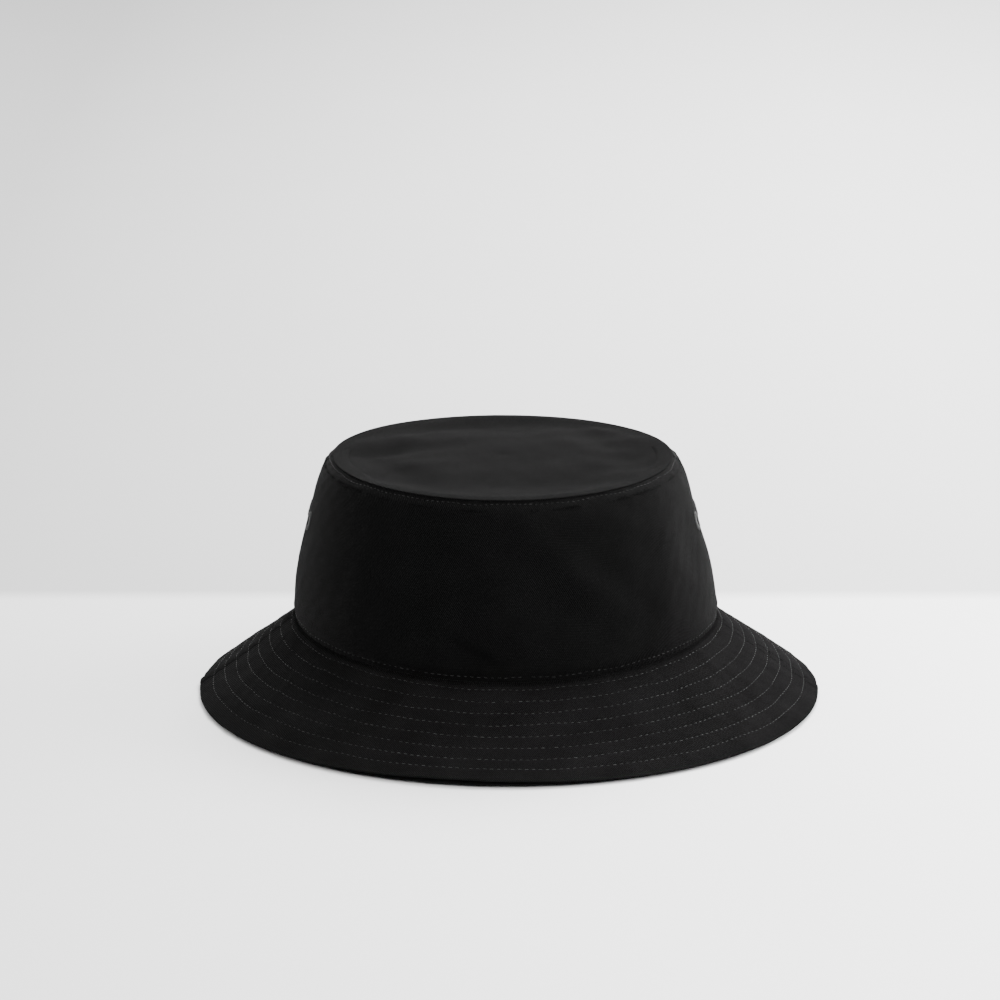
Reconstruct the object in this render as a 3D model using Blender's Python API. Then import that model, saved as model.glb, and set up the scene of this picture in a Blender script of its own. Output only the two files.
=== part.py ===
"""Bucket hat: a sewn twill crown with a quilted sloping brim.

The hat stands on its brim edge at Z = 0, with its front towards -Y and +Z up. Every layer of cloth is a
separate solid. Each one is a cross-section of radius and height, turned about the Z axis.
"""

import math

import bmesh
import bpy
from mathutils import Matrix, Vector

# Driving dimensions, in metres
BRIM_EDGE_RADIUS = 0.1421
BRIM_EDGE_HEIGHT = 0.0013
BASE_RADIUS = 0.0966  # the crown's outer face where it meets the brim
BASE_HEIGHT = 0.0324
TIP_RADIUS = 0.0770  # the crown's outer face where it meets the tip
TIP_HEIGHT = 0.1087
WALL_SWELL = 0.0043  # how far the crown wall swells past a straight cone
FOOT_POWER = 2.4  # how fast it swells above the base seam
SHOULDER_POWER = 7.0  # how sharply it turns in at the shoulder below the tip
TIP_DISH = 0.0035  # how far the tip sinks at its middle
LEAN = -0.0030  # how far the crown leans along X from brim edge to tip
SADDLE = 0.0020  # how far the base seam rises at the sides and sinks at the front and back
SADDLE_LOST_AT_TIP = 0.5  # the share of that rise that is gone at the tip seam
BRIM_FORWARD = 0.0080  # how far the brim's edge lies forward of the crown

TWILL = 0.0005
INTERLINING = 0.0003
BAND = 0.0006
TAPE = 0.0004
GAP = 0.0003  # between layers that touch
COLLAR = 0.0080  # the brim's seam allowance, turned up inside the crown

SWEATBAND_WIDTH = 0.028
BAND_FOOT = 0.0005  # the sweatband's lower edge, above the base seam
TIP_TAPE_WIDTH = 0.0100
SEAM_TAPE_WIDTH = 0.0120
TAPE_MARGIN = 0.0010  # left bare at the ends of a tape

THREAD_RADIUS = 0.00025
TIP_STITCH_DROP = 0.0015  # below the tip seam
BASE_STITCH_RISE = 0.0026  # above the base seam
EDGE_STITCH_RISE = 0.0009
BRIM_ROWS = 8
FIRST_ROW = 0.0030  # from the base seam
ROW_SPACING = 0.0063

EYELET_RISE = 0.048  # from the base seam, along the crown wall
EYELET_FROM_SEAM = 0.011
EYELET_HOLE_RADIUS = 0.0022
EYELET_RADIUS = 0.0045
PANEL_HOLE_RADIUS = 0.0030

LABEL_WIDTH = 0.030
LABEL_LENGTH = 0.020
LABEL_THICKNESS = 0.0005
LABEL_CLEARANCE = 0.0026  # from the sweatband, which curves behind the flat label
LABEL_CORNER = 0.0015

HALF_SEGMENTS = 30
SEGMENTS = 2 * HALF_SEGMENTS
FRONT = -1
BACK = 1
LEFT = -1
RIGHT = 1
MERGE = 0.000001

BLACK_TWILL = (0.012, 0.012, 0.013)
BLACK_THREAD = (0.045, 0.045, 0.047)
BLACK_TAPE = (0.020, 0.020, 0.021)
STIFFENER = (0.060, 0.060, 0.060)
WHITE_LABEL = (0.780, 0.780, 0.770)

WALL_STATIONS = (0.0, 0.1, 0.22, 0.5, 0.74, 0.84, 0.91, 0.96, 1.0)  # shares of the wall's length

# The crown wall and the brim as straight lines in the plane of radius and height
BASE = Vector((BASE_RADIUS, BASE_HEIGHT))
WALL_LINE = Vector((TIP_RADIUS - BASE_RADIUS, TIP_HEIGHT - BASE_HEIGHT))
WALL_LENGTH = WALL_LINE.length
WALL_ALONG = WALL_LINE.normalized()
WALL_OUT = Vector((WALL_ALONG.y, -WALL_ALONG.x))
BRIM_LINE = Vector((BRIM_EDGE_RADIUS - BASE_RADIUS, BRIM_EDGE_HEIGHT - BASE_HEIGHT))
BRIM_LENGTH = BRIM_LINE.length
BRIM_ALONG = BRIM_LINE.normalized()
BRIM_UP = Vector((-BRIM_ALONG.y, BRIM_ALONG.x))


def clear_objects():
    for old in list(bpy.data.objects):
        bpy.data.objects.remove(old, do_unlink=True)


def cloth(name, colour, roughness):
    """A matt cloth or thread material."""
    made = bpy.data.materials.new(name)
    made.use_nodes = True
    shader = made.node_tree.nodes["Principled BSDF"]
    shader.inputs["Base Color"].default_value = (*colour, 1.0)
    shader.inputs["Roughness"].default_value = roughness
    shader.inputs["Metallic"].default_value = 0.0
    return made


def swell_at(share):
    """How far the wall stands out from a straight cone at this share of its length."""
    middle_distance = abs(2 * share - 1)
    power = FOOT_POWER if share < 0.5 else SHOULDER_POWER
    return WALL_SWELL * (1 - middle_distance**power)


def wall_swell(share):
    """The swell of the faceted wall, straight between one station and the next.

    Every layer reads it, so an inner layer never cuts through the facets of an outer one."""
    for low, high in zip(WALL_STATIONS[:-1], WALL_STATIONS[1:]):
        if share <= high:
            between = (share - low) / (high - low)
            return swell_at(low) * (1 - between) + swell_at(high) * between
    return swell_at(1.0)


def wall_point(rise, depth):
    """Radius and height on the crown wall: rise is up the wall from the base seam, depth is inwards."""
    swell = wall_swell(rise / WALL_LENGTH)
    return BASE + WALL_ALONG * rise + WALL_OUT * (swell - depth)


def brim_point(run, depth):
    """Radius and height on the brim: run is out from the base seam, depth is down into the layers."""
    return BASE + BRIM_ALONG * run - BRIM_UP * depth


def fold_point(wall_depth, brim_depth):
    """Where a layer that follows the wall at one depth meets the brim at another."""
    wall_foot = wall_point(0, wall_depth)
    toward = wall_point(COLLAR, wall_depth) - wall_foot
    offset = wall_foot - brim_point(0, brim_depth)
    along = -offset.dot(BRIM_UP) / toward.dot(BRIM_UP)
    return wall_foot + toward * along


def settle(point):
    """The worn-in shape: the crown leans, the base seam rises at the sides, and the brim lies forward."""
    share = point.z / TIP_HEIGHT
    up_brim = min(point.z / BASE_HEIGHT, 1.0)
    up_wall = max(point.z - BASE_HEIGHT, 0.0) / (TIP_HEIGHT - BASE_HEIGHT)
    inward = min(point.xy.length / BASE_RADIUS, 1.0) ** 2
    lift = SADDLE * up_brim * (1 - SADDLE_LOST_AT_TIP * up_wall) * inward
    angle = math.atan2(point.y, point.x)
    lean = LEAN * math.sin(math.pi / 2 * min(share, 1.0))
    out = max(point.xy.length - BASE_RADIUS, 0.0) / (BRIM_EDGE_RADIUS - BASE_RADIUS)
    return point + Vector((lean, BRIM_FORWARD * (1.0 - out), lift * math.cos(2 * angle)))


def around(radius, height, angle):
    flat = Vector((radius * math.cos(angle), radius * math.sin(angle), height))
    return settle(flat)


def add_object(name, mesh_builder, material):
    """An object from a finished mesh builder, with its faces pointing out and round parts shaded smooth."""
    bmesh.ops.recalc_face_normals(mesh_builder, faces=mesh_builder.faces)
    mesh = bpy.data.meshes.new(name)
    mesh_builder.to_mesh(mesh)
    mesh_builder.free()
    mesh.materials.append(material)
    mesh.shade_smooth()
    mesh.set_sharp_from_angle(angle=math.radians(35))
    made = bpy.data.objects.new(name, mesh)
    bpy.context.collection.objects.link(made)
    return made


def join_stations(mesh_builder, stations):
    """Side faces between each cross-section and the next."""
    for this, following in zip(stations[:-1], stations[1:]):
        for index in range(len(this)):
            after = (index + 1) % len(this)
            mesh_builder.faces.new((this[index], this[after], following[after], following[index]))


def full_ring(name, section, material, segments=SEGMENTS):
    """A closed section of radius and height turned all the way round."""
    mesh_builder = bmesh.new()
    stations = []
    for index in range(segments):
        angle = 2 * math.pi * index / segments
        stations.append([mesh_builder.verts.new(around(*corner, angle)) for corner in section])
    join_stations(mesh_builder, stations + stations[:1])
    return add_object(name, mesh_builder, material)


def half_ring(name, section, side, material):
    """A closed section turned from one side seam to the other, stopping half a gap short of each."""
    mesh_builder = bmesh.new()
    stations = []
    for index in range(HALF_SEGMENTS + 1):
        angle = math.pi * index / HALF_SEGMENTS
        station = []
        for radius, height in section:
            trim = math.asin(GAP / 2 / radius)
            turned = side * min(max(angle, trim), math.pi - trim)
            station.append(mesh_builder.verts.new(around(radius, height, turned)))
        stations.append(station)
    join_stations(mesh_builder, stations)
    mesh_builder.faces.new(stations[0])
    mesh_builder.faces.new(stations[-1])
    return add_object(name, mesh_builder, material)


def wall_section(bottom, top, depth, thickness):
    """A closed section of a layer that follows the crown wall, with a corner at each station it crosses."""
    stations = [share * WALL_LENGTH for share in WALL_STATIONS]
    rises = [bottom, *[rise for rise in stations if bottom < rise < top], top]
    outer = [wall_point(rise, depth) for rise in rises]
    inner = [wall_point(rise, depth + thickness) for rise in reversed(rises)]
    return outer + inner


def crown_sides(material):
    """Front and back panels, joined at the side seams, each with its eyelet holes cut through."""
    section = wall_section(0, WALL_LENGTH, 0, TWILL)
    section[-1] = fold_point(TWILL, 0)
    panels = {}
    for word, side in (("front", FRONT), ("back", BACK)):
        panels[side] = half_ring(f"crown_side_{word}", section, side, material)
    return panels


def dish_sink(share):
    """How far the tip sinks at this share of its radius."""
    return TIP_DISH * (1 + math.cos(math.pi * share)) / 2


def crown_tip(material):
    """The round top panel, gently dished, lying on the top edge of the wall."""
    rim = wall_point(WALL_LENGTH, 0)
    dish_steps = 4
    shares = [step / dish_steps for step in range(dish_steps + 1)]
    over = [Vector((rim.x * share, rim.y + GAP + TWILL - dish_sink(share))) for share in shares]
    under = [Vector((rim.x * share, rim.y + GAP - dish_sink(share))) for share in reversed(shares)]
    profile = over + under
    mesh_builder = bmesh.new()
    stations = []
    for index in range(SEGMENTS + 1):
        angle = 2 * math.pi * index / SEGMENTS
        stations.append([mesh_builder.verts.new(around(*corner, angle)) for corner in profile])
    for this, following in zip(stations[:-1], stations[1:]):
        for index in range(len(profile) - 1):
            mesh_builder.faces.new((this[index], this[index + 1], following[index + 1], following[index]))
    bmesh.ops.remove_doubles(mesh_builder, verts=mesh_builder.verts, dist=MERGE)
    return add_object("crown_tip", mesh_builder, material)


def brim_cloth_section(wall_depth, brim_depth, level_edge):
    """A brim layer with its seam allowance turned up inside the crown wall.

    The under layer is cut level at Z = 0, which is the face that the hat stands on."""
    outer = [wall_point(COLLAR, wall_depth), fold_point(wall_depth, brim_depth)]
    inner = [fold_point(wall_depth + TWILL, brim_depth + TWILL), wall_point(COLLAR, wall_depth + TWILL)]
    over, under = brim_point(BRIM_LENGTH, brim_depth), brim_point(BRIM_LENGTH, brim_depth + TWILL)
    if level_edge:
        over = level_point(brim_depth)
        under = level_point(brim_depth + TWILL)
    return outer + [over, under] + inner


def level_point(depth):
    """Where the brim at this depth reaches Z = 0."""
    start = brim_point(0, depth)
    return start + BRIM_ALONG * (start.y / -BRIM_ALONG.y)


def brim_layers(twill, stiffener):
    """Top and under layers of twill with a stiff interlining between, each in a front and a back half."""
    top_depth = GAP
    lining_depth = top_depth + TWILL + GAP
    under_depth = lining_depth + INTERLINING + GAP
    collar_depth = TWILL + GAP
    under_collar_depth = collar_depth + TWILL + GAP
    lining_start = BRIM_LENGTH * 0.04
    lining_end = BRIM_LENGTH * 0.96
    lining_section = [
        brim_point(lining_start, lining_depth),
        brim_point(lining_end, lining_depth),
        brim_point(lining_end, lining_depth + INTERLINING),
        brim_point(lining_start, lining_depth + INTERLINING),
    ]
    for word, side in (("front", FRONT), ("back", BACK)):
        top_section = brim_cloth_section(collar_depth, top_depth, level_edge=False)
        under_section = brim_cloth_section(under_collar_depth, under_depth, level_edge=True)
        half_ring(f"brim_top_{word}", top_section, side, twill)
        half_ring(f"brim_interlining_{word}", lining_section, side, stiffener)
        half_ring(f"brim_under_{word}", under_section, side, twill)


def sweatband(material):
    """A band that stands up inside the crown, sewn in with the base seam."""
    depth = 3 * (TWILL + GAP)
    section = wall_section(BAND_FOOT, SWEATBAND_WIDTH, depth, BAND)
    full_ring("sweatband", section, material)


def tip_seam_tape(material):
    """Tape that covers the tip seam inside the crown."""
    top = WALL_LENGTH - TAPE_MARGIN
    section = wall_section(top - TIP_TAPE_WIDTH, top, TWILL + GAP, TAPE)
    full_ring("tip_seam_tape", section, material)


def side_seam_tapes(material):
    """A strip of tape up the inside of each side seam, from the sweatband to the tip's tape."""
    bottom = SWEATBAND_WIDTH + TAPE_MARGIN
    top = WALL_LENGTH - TIP_TAPE_WIDTH - 2 * TAPE_MARGIN
    section = wall_section(bottom, top, TWILL + GAP, TAPE)
    spread = SEAM_TAPE_WIDTH / 2 / BASE_RADIUS
    for word, middle in (("left", math.pi), ("right", 0.0)):
        mesh_builder = bmesh.new()
        stations = []
        for share in (-1, 0, 1):
            angle = middle + spread * share
            stations.append([mesh_builder.verts.new(around(*corner, angle)) for corner in section])
        join_stations(mesh_builder, stations)
        mesh_builder.faces.new(stations[0])
        mesh_builder.faces.new(stations[-1])
        add_object(f"side_seam_tape_{word}", mesh_builder, material)


def thread_ring(name, centre, material):
    """A row of topstitching as one ring of thread of square section."""
    section = []
    for quarter in range(4):
        turn = math.pi / 2 * quarter
        section.append(centre + Vector((math.cos(turn), math.sin(turn))) * THREAD_RADIUS)
    full_ring(name, section, material)


def topstitching(material):
    """The rows of thread on the crown wall, and the rows that quilt the brim."""
    clear = GAP + THREAD_RADIUS
    thread_ring("tip_topstitch", wall_point(WALL_LENGTH - TIP_STITCH_DROP, -clear), material)
    thread_ring("crown_base_topstitch", wall_point(BASE_STITCH_RISE, -clear), material)
    thread_ring("crown_edge_topstitch", wall_point(EDGE_STITCH_RISE, -clear), material)
    for row in range(BRIM_ROWS):
        run = FIRST_ROW + ROW_SPACING * row
        thread_ring(f"brim_stitch_row_{row + 1}", brim_point(run, GAP - clear), material)


def eyelet_frame(left_right, front_back):
    """The place and direction of one eyelet: its Z axis points out of the crown wall."""
    foot, above = wall_point(EYELET_RISE - 0.002, TWILL / 2), wall_point(EYELET_RISE + 0.002, TWILL / 2)
    middle = wall_point(EYELET_RISE, TWILL / 2)
    angle = front_back * math.asin(EYELET_FROM_SEAM / middle.x)
    if left_right == LEFT:
        angle = math.pi - angle
    up = (around(*above, angle) - around(*foot, angle)).normalized()
    sideways = Vector((-math.sin(angle), math.cos(angle), 0.0))
    out = sideways.cross(up).normalized()
    frame = Matrix((sideways, up, out)).transposed().to_4x4()
    frame.translation = around(*middle, angle)
    return frame


def eyelet_mesh():
    """A spool of thread round a hole: a lip on each face of the cloth and a barrel between them."""
    inner_face = TWILL / 2 + GAP
    lip = 0.0005
    barrel = PANEL_HOLE_RADIUS - GAP
    section = [
        (EYELET_HOLE_RADIUS, -inner_face - lip),
        (EYELET_RADIUS, -inner_face - lip),
        (EYELET_RADIUS, -inner_face),
        (barrel, -inner_face),
        (barrel, inner_face),
        (EYELET_RADIUS, inner_face),
        (EYELET_RADIUS, inner_face + lip),
        (EYELET_HOLE_RADIUS, inner_face + lip),
    ]
    mesh_builder = bmesh.new()
    stations = []
    sides = 16
    for index in range(sides):
        angle = 2 * math.pi * index / sides
        station = []
        for radius, height in section:
            spot = Vector((radius * math.cos(angle), radius * math.sin(angle), height))
            station.append(mesh_builder.verts.new(spot))
        stations.append(station)
    join_stations(mesh_builder, stations + stations[:1])
    return mesh_builder


def hole_cutter(name, frame):
    """A short cylinder that cuts one eyelet's hole through the crown wall."""
    mesh_builder = bmesh.new()
    bmesh.ops.create_cone(
        mesh_builder,
        cap_ends=True,
        segments=16,
        radius1=PANEL_HOLE_RADIUS,
        radius2=PANEL_HOLE_RADIUS,
        depth=0.006,
    )
    bmesh.ops.recalc_face_normals(mesh_builder, faces=mesh_builder.faces)
    mesh = bpy.data.meshes.new(name)
    mesh_builder.to_mesh(mesh)
    mesh_builder.free()
    cutter = bpy.data.objects.new(name, mesh)
    cutter.matrix_world = frame
    cutter.hide_render = True
    cutter.display_type = "WIRE"
    bpy.context.collection.objects.link(cutter)
    return cutter


def eyelets(panels, material):
    """Four embroidered eyelets, a pair beside each side seam, and the holes that they line."""
    for side_word, left_right in (("left", LEFT), ("right", RIGHT)):
        for end_word, front_back in (("front", FRONT), ("back", BACK)):
            frame = eyelet_frame(left_right, front_back)
            made = add_object(f"eyelet_{side_word}_{end_word}", eyelet_mesh(), material)
            made.matrix_world = frame
            cutter = hole_cutter(f"hole_{side_word}_{end_word}", frame)
            cut = panels[front_back].modifiers.new(cutter.name, "BOOLEAN")
            cut.operation = "DIFFERENCE"
            cut.object = cutter


def care_label(material):
    """A blank label sewn by its top edge inside the back of the sweatband, from which it hangs."""
    top = wall_point(SWEATBAND_WIDTH, 3 * (TWILL + GAP) + BAND)
    hinge_line = settle(Vector((0.0, top.x - LABEL_CLEARANCE, top.y - 0.001)))
    hinge = bpy.data.objects.new("care_label_hinge", None)
    hinge.location = (0.0, hinge_line.y, hinge_line.z)
    bpy.context.collection.objects.link(hinge)
    mesh_builder = bmesh.new()
    bmesh.ops.create_cube(mesh_builder, size=1.0)
    bmesh.ops.scale(mesh_builder, verts=mesh_builder.verts, vec=(LABEL_WIDTH, LABEL_THICKNESS, LABEL_LENGTH))
    bmesh.ops.translate(mesh_builder, verts=mesh_builder.verts, vec=(0.0, 0.0, -LABEL_LENGTH / 2))
    corners = [edge for edge in mesh_builder.edges if abs(edge.verts[0].co.y - edge.verts[1].co.y) > MERGE]
    bmesh.ops.bevel(mesh_builder, geom=corners, offset=LABEL_CORNER, segments=3, affect="EDGES", profile=0.5)
    made = add_object("care_label", mesh_builder, material)
    made.parent = hinge


def build_hat():
    clear_objects()
    twill = cloth("black_twill", BLACK_TWILL, 0.85)
    thread = cloth("black_thread", BLACK_THREAD, 0.6)
    tape = cloth("black_tape", BLACK_TAPE, 0.8)
    stiffener = cloth("stiffener", STIFFENER, 0.9)
    label = cloth("white_label", WHITE_LABEL, 0.7)
    panels = crown_sides(twill)
    crown_tip(twill)
    brim_layers(twill, stiffener)
    sweatband(tape)
    tip_seam_tape(tape)
    side_seam_tapes(tape)
    topstitching(thread)
    eyelets(panels, thread)
    care_label(label)
    bpy.context.view_layer.update()


build_hat()
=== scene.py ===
"""The looks of the bucket hat: sewn twill with real stitches, seams and folds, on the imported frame.

Each layer of cloth is a grid of points on a smooth form. The form of the crown is sagged by a cloth
simulation, and the detail of seams, quilting and creases is added along the cloth's own normal. Lengths
are in metres. Angles are measured round the hat: 0 is the right side seam and -90 degrees the front.
"""

import math
import random

import bmesh
import bpy
import numpy as np
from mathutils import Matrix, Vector


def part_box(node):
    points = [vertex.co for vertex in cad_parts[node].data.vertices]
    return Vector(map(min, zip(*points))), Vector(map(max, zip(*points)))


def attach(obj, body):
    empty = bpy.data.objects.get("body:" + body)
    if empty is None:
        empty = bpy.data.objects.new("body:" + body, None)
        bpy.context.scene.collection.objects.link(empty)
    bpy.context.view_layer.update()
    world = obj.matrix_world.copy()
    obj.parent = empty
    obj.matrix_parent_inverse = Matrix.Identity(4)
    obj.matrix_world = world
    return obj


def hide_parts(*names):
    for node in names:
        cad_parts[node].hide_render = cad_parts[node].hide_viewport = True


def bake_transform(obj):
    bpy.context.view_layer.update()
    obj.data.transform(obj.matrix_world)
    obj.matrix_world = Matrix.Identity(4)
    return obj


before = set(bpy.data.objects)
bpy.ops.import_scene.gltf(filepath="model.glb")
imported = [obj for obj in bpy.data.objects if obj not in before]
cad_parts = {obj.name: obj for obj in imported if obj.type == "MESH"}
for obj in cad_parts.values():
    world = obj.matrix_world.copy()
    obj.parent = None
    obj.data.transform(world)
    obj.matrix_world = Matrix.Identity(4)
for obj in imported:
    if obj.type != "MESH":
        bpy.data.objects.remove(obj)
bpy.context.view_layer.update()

TAU = 2 * math.pi
HALF = math.pi
UP = np.array((0.0, 0.0, 1.0))

# The hat's size, read from the frame
tip_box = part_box("crown_tip")
wall_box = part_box("crown_side_front")
top_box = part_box("brim_top_front")
BRIM_RADIUS = (top_box[1].x - top_box[0].x) / 2
TIP_RADIUS = (tip_box[1].x - tip_box[0].x) / 2
BRIM_FORWARD = 0.0080  # how far the brim's edge lies forward of the crown
BASE_RADIUS = BRIM_FORWARD - wall_box[0].y
LEAN = (tip_box[1].x + tip_box[0].x) / 2
SADDLE = 0.0020  # how far the base seam rises at the sides and sinks at the front and back
SADDLE_AT_TIP = 0.5  # the share of the saddle that is left at the tip seam
BASE_HEIGHT = 0.0324
TIP_HEIGHT = 0.1087
EDGE_HEIGHT = 0.0019  # the brim's upper face at its edge

WALL_SWELL = 0.0043
FOOT_POWER = 2.4
SHOULDER_POWER = 7.0
TIP_DOME = 0.0022
RIM_ROUND = 0.00036  # the radius of the tip's rolled edge
RIM_PRESS = 0.00022  # how far the seam presses that edge down on the wall
BRIM_HOLLOW = 0.0010  # how far the brim sinks between the seam and its edge

CLOTH = 0.00032
FOLD = 0.00047  # half the thickness of a folded edge
TOP_FOLD = 0.00034  # the same, where the wall's top edge is pressed flat
SEAM_GAP = 0.00002

STITCH_PITCH = 0.0030
STITCH_DENT = 0.00030  # how deep a row of stitches pulls into the cloth
THREAD_RADIUS = 0.00013
TIP_STITCH_DROP = 0.0016
BASE_STITCH_RISE = 0.0026
EDGE_STITCH_RISE = 0.0008
FIRST_ROW = 0.0030
ROW_SPACING = 0.0063
BRIM_ROWS = 8

EYELET_RISE = 0.048
EYELET_FROM_SEAM = 0.011

BAND_WIDTH = 0.028
BAND_DEPTH = 0.0025  # from the wall's outer face to the sweatband's back
BAND_THICKNESS = 0.0006

WALL_ALONG = Vector((TIP_RADIUS - BASE_RADIUS, TIP_HEIGHT - BASE_HEIGHT))
WALL_LENGTH = WALL_ALONG.length
WALL_ALONG.normalize()
BRIM_ALONG = Vector((BRIM_RADIUS - BASE_RADIUS, EDGE_HEIGHT - BASE_HEIGHT))
BRIM_LENGTH = BRIM_ALONG.length
BRIM_ALONG.normalize()


# Smooth numbers

def bump(distance, width):
    """A smooth hump of height 1 and this half-width."""
    return np.exp(-((distance / width) ** 2))


def ease(value, low, high):
    """0 below low, 1 above high, and smooth between."""
    share = np.clip((value - low) / (high - low), 0.0, 1.0)
    return share * share * (3 - 2 * share)


def turn_between(angle, other):
    """The angle from other to angle, by the shorter way round."""
    return (angle - other + HALF) % TAU - HALF


def unevenness(angle, along, seed, turns, per_metre, waves=7):
    """A field from about -1 to 1, uneven round the hat and along the cloth, the same on each run."""
    rng = random.Random(seed)
    total = np.zeros(np.broadcast(angle, along).shape)
    for _ in range(waves):
        whole_turns = rng.randint(turns // 3, turns)
        climb = rng.uniform(-1, 1) * per_metre * TAU
        total = total + np.sin(whole_turns * angle + climb * along + rng.uniform(0, TAU))
    return total / math.sqrt(waves)


def spline_weights(share):
    """The four weights of a uniform cubic spline."""
    rest = 1 - share
    return (
        rest**3 / 6,
        (3 * share**3 - 6 * share**2 + 4) / 6,
        (3 * rest**3 - 6 * rest**2 + 4) / 6,
        share**3 / 6,
    )


def read_grid(grid, angle, row):
    """A grid of vectors, round the hat by along the cloth, read smoothly at any angle and row."""
    across, along = grid.shape[:2]
    angle, row = np.broadcast_arrays(angle, row)
    place = angle / TAU % 1.0 * across
    first, low = np.floor(place).astype(int), np.floor(row).astype(int)
    total = 0.0
    for i, weight_across in enumerate(spline_weights(place - first)):
        for j, weight_along in enumerate(spline_weights(row - low)):
            value = grid[(first + i - 1) % across, np.clip(low + j - 1, 0, along - 1)]
            total = total + (weight_across * weight_along)[..., None] * value
    return total


def unit(vectors):
    return vectors / np.linalg.norm(vectors, axis=-1, keepdims=True)


# The hat's form: a surface is a function of the angle and the distance along the cloth

def turned(angle, radius, height):
    """The point at an angle, radius and height, with the worn hat's lean, saddle and forward brim."""
    up_brim = np.clip(height / BASE_HEIGHT, 0.0, 1.0)
    up_wall = np.clip((height - BASE_HEIGHT) / (TIP_HEIGHT - BASE_HEIGHT), 0.0, 1.0)
    inward = np.minimum(radius / BASE_RADIUS, 1.0) ** 2
    lift = SADDLE * up_brim * (1 - (1 - SADDLE_AT_TIP) * up_wall) * inward * np.cos(2 * angle)
    lean = LEAN * np.sin(HALF / 2 * np.clip(height / TIP_HEIGHT, 0.0, 1.0))
    out = np.maximum(radius - BASE_RADIUS, 0.0) / (BRIM_RADIUS - BASE_RADIUS)
    north = radius * np.sin(angle) + BRIM_FORWARD * (1 - out)
    parts = np.broadcast_arrays(radius * np.cos(angle) + lean, north, height + lift)
    return np.stack(parts, axis=-1)


def wall_form(angle, rise):
    """The crown wall's outer face before it sags. Rise is up the wall from the base seam."""
    share = rise / WALL_LENGTH
    middle_distance = np.minimum(np.abs(2 * share - 1), 1.0)
    power = np.where(share < 0.5, FOOT_POWER, SHOULDER_POWER)
    swell = WALL_SWELL * (1 - middle_distance**power)
    radius = BASE_RADIUS + WALL_ALONG.x * rise + WALL_ALONG.y * swell
    height = BASE_HEIGHT + WALL_ALONG.y * rise - WALL_ALONG.x * swell
    return turned(angle, radius, height)


def tip_form(angle, share):
    """The tip's upper face before it sags. Share is 0 at its middle and 1 at its rim."""
    dome = TIP_DOME * (1 - np.clip(share, 0.0, 1.0) ** 3)
    return turned(angle, TIP_RADIUS * share, TIP_HEIGHT + 2 * RIM_ROUND - RIM_PRESS + dome)


def brim_form(angle, run):
    """The brim's upper face. Run is out from the base seam along the cloth."""
    share = run / BRIM_LENGTH
    hollow = BRIM_HOLLOW * np.sin(HALF * np.clip(share, 0.0, 1.0) ** 0.7)
    radius = BASE_RADIUS + BRIM_ALONG.x * run + BRIM_ALONG.y * hollow
    height = BASE_HEIGHT + BRIM_ALONG.y * run - BRIM_ALONG.x * hollow
    return turned(angle, radius, np.maximum(height, EDGE_HEIGHT * 0.5))


def normal_of(surface, angle, along, facing=1):
    """Unit normals of a surface: outward on the wall, and upward on the brim if facing is -1."""
    step = 0.0006
    across = surface(angle + step * 8, along) - surface(angle - step * 8, along)
    up = surface(angle, along + step) - surface(angle, along - step)
    normal = np.cross(across, up)
    return facing * normal / np.linalg.norm(normal, axis=-1, keepdims=True)


# The crown's sag, from a cloth simulation

SIM_AROUND = 144
SIM_WALL_ROWS = 22
SIM_TIP_ROWS = 22
SIM_FRAMES = 24
SIM_SLACK = 0.003  # how much longer the cloth is cut than the form


def sim_points():
    """Rings up the wall, then in over the tip, and last the tip's middle."""
    angle = np.arange(SIM_AROUND) / SIM_AROUND * TAU
    rings = [wall_form(angle, WALL_LENGTH * row / SIM_WALL_ROWS) for row in range(SIM_WALL_ROWS + 1)]
    rings += [tip_form(angle, 1 - row / SIM_TIP_ROWS) for row in range(1, SIM_TIP_ROWS)]
    return np.concatenate([np.concatenate(rings), tip_form(np.zeros(1), 0.0)])


def sim_faces():
    rings = SIM_WALL_ROWS + SIM_TIP_ROWS
    middle = rings * SIM_AROUND
    faces = []
    for ring in range(rings - 1):
        for index in range(SIM_AROUND):
            here, after = ring * SIM_AROUND + index, ring * SIM_AROUND + (index + 1) % SIM_AROUND
            faces.append((here, after, after + SIM_AROUND, here + SIM_AROUND))
    last = (rings - 1) * SIM_AROUND
    faces += [(last + index, last + (index + 1) % SIM_AROUND, middle) for index in range(SIM_AROUND)]
    return faces


def sim_hold(ring):
    """How firmly a ring keeps its form: the sewn seams are stiff, and the cloth between them is soft."""
    if ring <= 1:
        return 1.0
    seam_distance = abs(ring - SIM_WALL_ROWS)
    if seam_distance == 0:
        return 0.75
    if ring < SIM_WALL_ROWS:
        return 0.08 + 0.25 * math.exp(-seam_distance / 1.5)
    return 0.12 + 0.10 * math.exp(-seam_distance / 1.5)


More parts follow.
